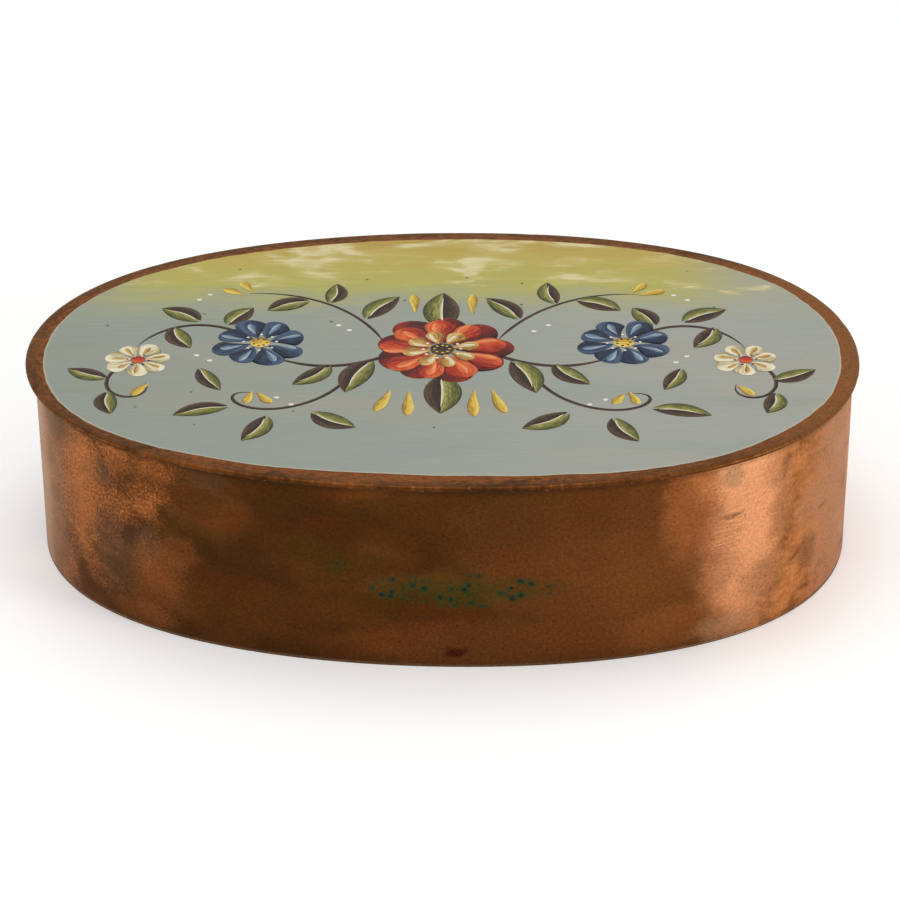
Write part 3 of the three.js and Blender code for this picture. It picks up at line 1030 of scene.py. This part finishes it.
def seam(face_inset, side, bottom, top, shift, seed):
    """The film between a lap's layers and the bead along its end, drawn up from bottom to top."""
    rings = []
    film = side * SEAM_FILM
    for row in range(SEAM_ROWS + 1):
        z = bottom + (top - bottom) * row / SEAM_ROWS
        lump = noise.noise(Vector((z / (4 * MM), seed, 0))) + 0.5 * noise.noise(Vector((z / MM, seed, 9)))
        toe = (LAP_LENGTH + BEAD_LENGTH * (0.95 + 0.4 * lump)) / OUTLINE_LENGTH
        crown = side * (SEAM_FILM + BEAD_SHARE * GAUGE * (0.95 + 0.2 * lump))
        corners = [
            (0, 0), (LAP_SHARE * 0.6, 0), (LAP_SHARE, 0), (toe, 0), ((LAP_SHARE + toe) / 2, crown * 0.62),
            (LAP_SHARE, crown), (LAP_SHARE, film), (LAP_SHARE * 0.6, film), (0, film),
        ]
        ring = [place(share, face_inset + offset) for share, offset in corners]
        rings.append([(x + shift, y, z) for x, y in ring])
    bm = bmesh.new()
    sweep(bm, rings)
    bmesh.ops.recalc_face_normals(bm, faces=bm.faces[:])
    return bm


bm = seam(wall_inset, -1, base_top, lid_underside, seat_play, 61)
finish_piece("wall_seam", bm, [solder], "box_body", "solder", "wall_seam_solder")
bm = seam(flange_inner_inset, 1, flange_bottom, lid_underside, 0, 71)
finish_piece("flange_seam", bm, [solder], "lid", "solder", "flange_seam_solder")

# %% [markdown]
# The painted ground is a film a tenth of a millimetre thick. It was cut in by eye, so its edge
# wanders by half a millimetre and strays further in three places at the front, and it thins to a
# soft shoulder there. The mesh carries one number, the distance from the edge, which the material
# uses for a thin pale line along the edge.

# %% Film of paint
EDGE_WANDER = 0.4 * MM
PAINT_THICKNESS = ground_top - lid_top
STRAYED = [
    # share of the way round, how far to either side, how far in
    (0.322, 45 * MM, -1.2 * MM), (0.487, 62 * MM, 1.7 * MM), (0.608, 38 * MM, -1.1 * MM),
]


def cut_in(inset):
    def uneven(share):
        line = BORDER_WIDTH + EDGE_WANDER * (hand(share, 17 * MM, 81) + 0.5 * hand(share, 4 * MM, 82))
        for middle, reach, astray in STRAYED:
            away = min(1, abs(share - middle) * OUTLINE_LENGTH / reach)
            line += astray * math.cos(math.pi / 2 * away) ** 2
        return line + inset

    return uneven


SHOULDER = [
    # mm from the edge, share of the thickness, drawn in to the middle
    (1.5, 1, 0.3), (1.5, 1, 0.8), (1.5, 1, 1), (0.9, 1, 1),
    (0.45, 1, 1), (0.15, 0.75, 1), (0, 0.3, 1), (0.02, 0, 1),
]
section = [
    (cut_in(inset * MM), lid_top + part * PAINT_THICKNESS, drawn) for inset, part, drawn in SHOULDER
]
bm = carried_round(section)
edge = layer(bm.verts.layers.float, "edge")
ring_number = bm.verts.layers.int["ring"]
for v in bm.verts:
    v[edge] = SHOULDER[v[ring_number]][0] * MM
finish_piece("ground_paint", bm, [painted_ground], "lid", "painted_ground", "painted_ground")

# %% [markdown]
# The design is country flower painting. It is all done with a round brush loaded with two colours,
# and nearly every mark is a comma: the brush is pressed down, so it spreads, then drawn away and
# lifted to a point. So there is one kind of mesh, a low ridge of paint swept along a curve, and what
# changes is the press of the brush along it. Later strokes lie on top of earlier ones.

# %% The brush
RIDGE = 0.05 * MM  # how thick a stroke stands in its middle
COAT = 0.03 * MM  # each layer lies this much higher
RIDGE_SECTION = [
    # across, from -1 to 1, and share of the ridge
    (-1, 0.1), (-0.75, 0.7), (-0.3, 1), (0.2, 0.85), (0.7, 0.7), (1, 0.1),
]
painter = random.Random(11)
canvas = {}


def comma(t):
    return math.sqrt(max(0, 1 - (1 - t / 0.35) ** 2)) if t < 0.35 else (1 - (t - 0.35) / 0.65) ** 0.8


def leaf_press(t):
    return math.sin(math.pi * t) ** 0.8


def liner(t):
    return min(1, 9 * t, 3 * (1 - t)) ** 0.7


def dab(t):
    return math.sqrt(max(0, 1 - (2 * t - 1) ** 2))


def along_curve(points, t):
    while len(points) > 1:
        points = [a.lerp(b, t) for a, b in zip(points, points[1:])]
    return points[0]


def brush(paint, coat, press, width, *points):
    """One stroke of this paint through the points, which are in mm from the middle of the lid."""
    points = [Vector(point) * MM for point in points]
    if paint not in canvas:
        canvas[paint] = bmesh.new()
    run = sum((b - a).length for a, b in zip(points, points[1:]))
    steps = max(14, round(run / (1.2 * MM)))
    luck = painter.random()
    rings, maps = [], []
    for i in range(steps + 1):
        t = (1 - math.cos(math.pi * i / steps)) / 2  # close together at both ends
        middle = along_curve(points, t)
        way = (along_curve(points, min(1, t + 0.01)) - along_curve(points, max(0, t - 0.01))).normalized()
        side = Vector((-way.y, way.x)) * max(0.05, press(t)) * width * MM / 2
        lift = ground_top + (coat + 0.5 * luck) * COAT
        ring = [(*(middle + side * across), lift + RIDGE * part) for across, part in RIDGE_SECTION]
        ring += [(*(middle + side * across), ground_top - 0.03 * MM) for across in (0.6, -0.6)]
        rings.append(ring)
        spread = [across for across, part in RIDGE_SECTION] + [0.6, -0.6]
        maps.append([(t * run, across * MM, luck) for across in spread])
    sweep(canvas[paint], rings, maps)


def spot_of(paint, coat, width, x, y):
    brush(paint, coat, dab, width, (x - width / 2, y), (x + width / 2, y))


print(f"a stroke stands {RIDGE / MM:.2f} mm high")

# %% [markdown]
# From strokes come flowers. A petal is a comma that starts fat at the rim and is drawn to the heart.
# A leaf is two strokes side by side, a dark half and a light half, with a vein of a third colour.
# No two are quite alike, because the painter's hand adds a few percent of luck to each.

# %% Flowers and leaves
LEAF_COAT = 1  # over the stems and under the flowers


def petals(paint, coat, heart, count, outer, inner, width, turned):
    heart = Vector(heart)
    for i in range(count):
        turn = 2 * math.pi * (i + turned + painter.uniform(-0.09, 0.09)) / count
        way = Vector((math.cos(turn), math.sin(turn)))
        side = Vector((-way.y, way.x)) * painter.uniform(0.5, 1.5) * width / 6
        reach = outer * painter.uniform(0.93, 1.06)
        middle = heart + way * (reach + inner) / 2 + side
        brush(paint, coat, comma, width * painter.uniform(0.9, 1.1), heart + way * reach, middle,
              heart + way * inner)


def leaf(base, tip, width, bend):
    base, tip = Vector(base), Vector(tip)
    side = Vector((base.y - tip.y, tip.x - base.x)).normalized()
    middle = base.lerp(tip, 0.45) + side * bend
    for paint, half in (("umber", -0.23), ("olive", 0.23)):
        belly = middle + side * width * half * 2.2
        brush(paint, LEAF_COAT, leaf_press, width * 0.62, base + side * width * half * 0.3, belly, tip)
    brush("cream", LEAF_COAT + 1, liner, width * 0.09, base.lerp(tip, 0.1), middle, base.lerp(tip, 0.85))


def seeds(paint, coat, heart, count, radius, width):
    for i in range(count):
        turn = 2 * math.pi * (i + painter.uniform(-0.15, 0.15)) / count
        spot_of(paint, coat, width, heart[0] + radius * math.cos(turn), heart[1] + radius * math.sin(turn))


print("petals, leaves and seeds are ready to draw")

# %% [markdown]
# The spray runs the length of the lid: a red rose in the middle, a blue flower and a small cream one
# to either side, and thin stems with leaves between them. Half of it is drawn twice, once mirrored,
# and the painter's luck keeps the halves from matching.

# %% The spray
def at(x, y):
    """Where a point of the pattern lands on this side of the lid, give or take the painter's hand."""
    return mirror * x + painter.uniform(-0.6, 0.6), y + painter.uniform(-0.6, 0.6)


for mirror in (-1, 1):
    for width, points in (
        (1.5, ((12, 0), (24, -10), (36, -12), (48, -2))),
        (1.3, ((52, 6), (62, 20), (78, 18), (84, 2))),
        (1.1, ((86, -6), (96, -16), (92, -32), (76, -28), (80, -18))),
        (1.2, ((24, -7), (26, -28), (44, -42), (60, -36), (62, -20), (50, -24))),
        (1.0, ((16, 6), (24, 26), (40, 36), (56, 34))),
    ):
        brush("umber", 0, liner, width, *(at(x, y) for x, y in points))
    for base, tip, width, bend in (
        ((19, -6), (26, -24), 7.5, 2), ((31, -8), (40, -19), 6, -2), ((34, -34), (22, -43), 6.5, 2),
        ((46, -37), (52, -50), 6, -2), ((57, -32), (72, -36), 6, 2), ((22, 19), (12, 32), 6.5, -2),
        ((32, 29), (30, 41), 5.5, 2), ((38, 30), (50, 24), 6.5, 2), ((60, 15), (54, 26), 6, -1),
        ((68, 17), (80, 25), 6.5, 2), ((76, 14), (70, 2), 6, 2), ((91, -16), (102, -10), 5.5, -1),
        ((90, -24), (88, -35), 5.5, 2), ((66, -10), (60, -22), 5, 1),
    ):
        leaf(at(*base), at(*tip), width, mirror * bend)
    for start, end, width in (
        ((56, 34), (63, 37), 3.2), ((54, 35), (58, 41), 3), ((80, -19), (84, -25), 3),
        ((50, -24), (46, -30), 3), ((51, -23), (53, -30), 2.8), ((14, -22), (17, -34), 3.4),
        ((9, -22), (9, -36), 3.4), ((8, 22), (8.5, 34), 3.0),
    ):
        brush("gold", 2, comma, width, at(*end), at(*((Vector(start) + Vector(end)) / 2)), at(*start))
    blue = at(50, 5)
    petals("navy", 2, blue, 8, 13, 3, 8.5, 0.3)
    petals("slate", 3, blue, 8, 11.5, 5, 2.4, 0.45)
    spot_of("gold", 4, 5.6, *blue)
    seeds("umber", 5, blue, 7, 1.9, 0.8)
    seeds("white", 5, blue, 8, 4.6, 0.8)
    small = at(84, -5)
    petals("cream", 2, small, 7, 9, 2, 6.5, 0.1)
    petals("ochre", 3, small, 7, 7.5, 2.5, 1.6, 0.3)
    spot_of("red", 4, 4, *small)
    seeds("umber", 4, small, 6, 3, 0.7)
    for x, y in ((64, -6), (68, -3), (40, -30), (44, -27), (66, 34), (69, 31), (26, 12), (29, 15)):
        spot_of("white", 2, 1.5, *at(x, y))

rose = (0, 1)
for up in (1, -1):
    leaf((0, 14 * up), (0, 35 * up), 9, 1)
petals("maroon", 2, rose, 9, 19, 4, 12, 0)
petals("red", 3, rose, 9, 17.5, 4, 9, 0.25)
petals("coral", 4, rose, 9, 16, 7, 3, 0.45)
petals("ochre", 5, rose, 8, 10.5, 3, 5.5, 0.2)
petals("cream", 6, rose, 8, 9, 4.5, 1.7, 0.4)
spot_of("umber", 7, 6.5, *rose)
seeds("gold", 8, rose, 8, 2.1, 0.8)
seeds("white", 7, rose, 10, 5.2, 0.9)
print(len(canvas), "paints,", sum(len(bm.faces) for bm in canvas.values()), "faces")

# %% [markdown]
# Artist's oil paint, straight from the brush. A brush loaded with two colours leaves one side of a
# stroke light and the other dark, and its bristles drag both into fine streaks along the stroke. The
# map on each stroke gives how far along and how far across it a point lies, and a number drawn by
# luck, which keeps the streaks of two strokes from matching.

# %% Oil paints
BRISTLE_SHARE = 0.22 * MM  # on the map a stroke is 2 mm across, whatever its width
PAINTS = {
    # light side, body, dark side
    "red": ("D4683A", "B23A20", "7C1F15"),
    "maroon": ("8A2A1C", "5E1A14", "331110"),
    "coral": ("EE9C66", "DB7442", "B84A28"),
    "navy": ("4A5C74", "25324A", "141A28"),
    "slate": ("AEBAC0", "74889A", "44566A"),
    "cream": ("EAE2C8", "D8CCA6", "A8966C"),
    "ochre": ("D9B878", "B98C46", "7E5526"),
    "gold": ("E6CC6C", "CDAA42", "93702A"),
    "umber": ("5C4634", "33251C", "1B130F"),
    "olive": ("A3A05C", "6C6C34", "3C3F20"),
    "white": ("F0ECE0", "E4DECE", "B8B09C"),
}

for paint, (light, body, dark) in PAINTS.items():
    material, tree, shader = new_material("oil_paint_" + paint)
    spot = add(tree, "ShaderNodeAttribute", attribute_name="map").outputs["Vector"]
    dragged = add(tree, "ShaderNodeMapping", {"Vector": spot, "Scale": (0.08, 1, 1)}).outputs[0]
    bristles = add(tree, "ShaderNodeTexNoise", {
        "Vector": dragged, "Scale": per(BRISTLE_SHARE), "Detail": 2.0,
    })
    across = add(tree, "ShaderNodeSeparateXYZ", {0: spot}).outputs[1]
    load = add(tree, "ShaderNodeMapRange", {
        "Value": across, "From Min": -1 * MM, "From Max": 1 * MM, "To Min": -0.45, "To Max": 0.25,
    })
    load = add(tree, "ShaderNodeMath", {0: bristles.outputs[0], 1: 1.2, 2: load.outputs[0]},
               operation="MULTIPLY_ADD")
    tint = add(tree, "ShaderNodeValToRGB", {0: load.outputs[0]}, stops=[
        (0.15, colour(light)), (0.85, colour(dark)), (0.5, colour(body)),
    ])
    tree.links.new(tint.outputs[0], shader.inputs["Base Color"])
    gloss = add(tree, "ShaderNodeMapRange", {
        "Value": bristles.outputs[0], "From Min": 0.3, "From Max": 0.7, "To Min": 0.6, "To Max": 0.48,
    })
    tree.links.new(gloss.outputs[0], shader.inputs["Roughness"])
    shader.inputs["Specular IOR Level"].default_value = OLD_PAINT_SHEEN
    relief = add(tree, "ShaderNodeBump", {
        "Height": bristles.outputs[0], "Strength": 0.5, "Distance": 0.05 * MM,
    })
    tree.links.new(relief.outputs[0], shader.inputs["Normal"])
    bm = canvas[paint]
    bmesh.ops.recalc_face_normals(bm, faces=bm.faces[:])
    finish_piece("strokes_" + paint, bm, [material], "lid", "painted_ground")
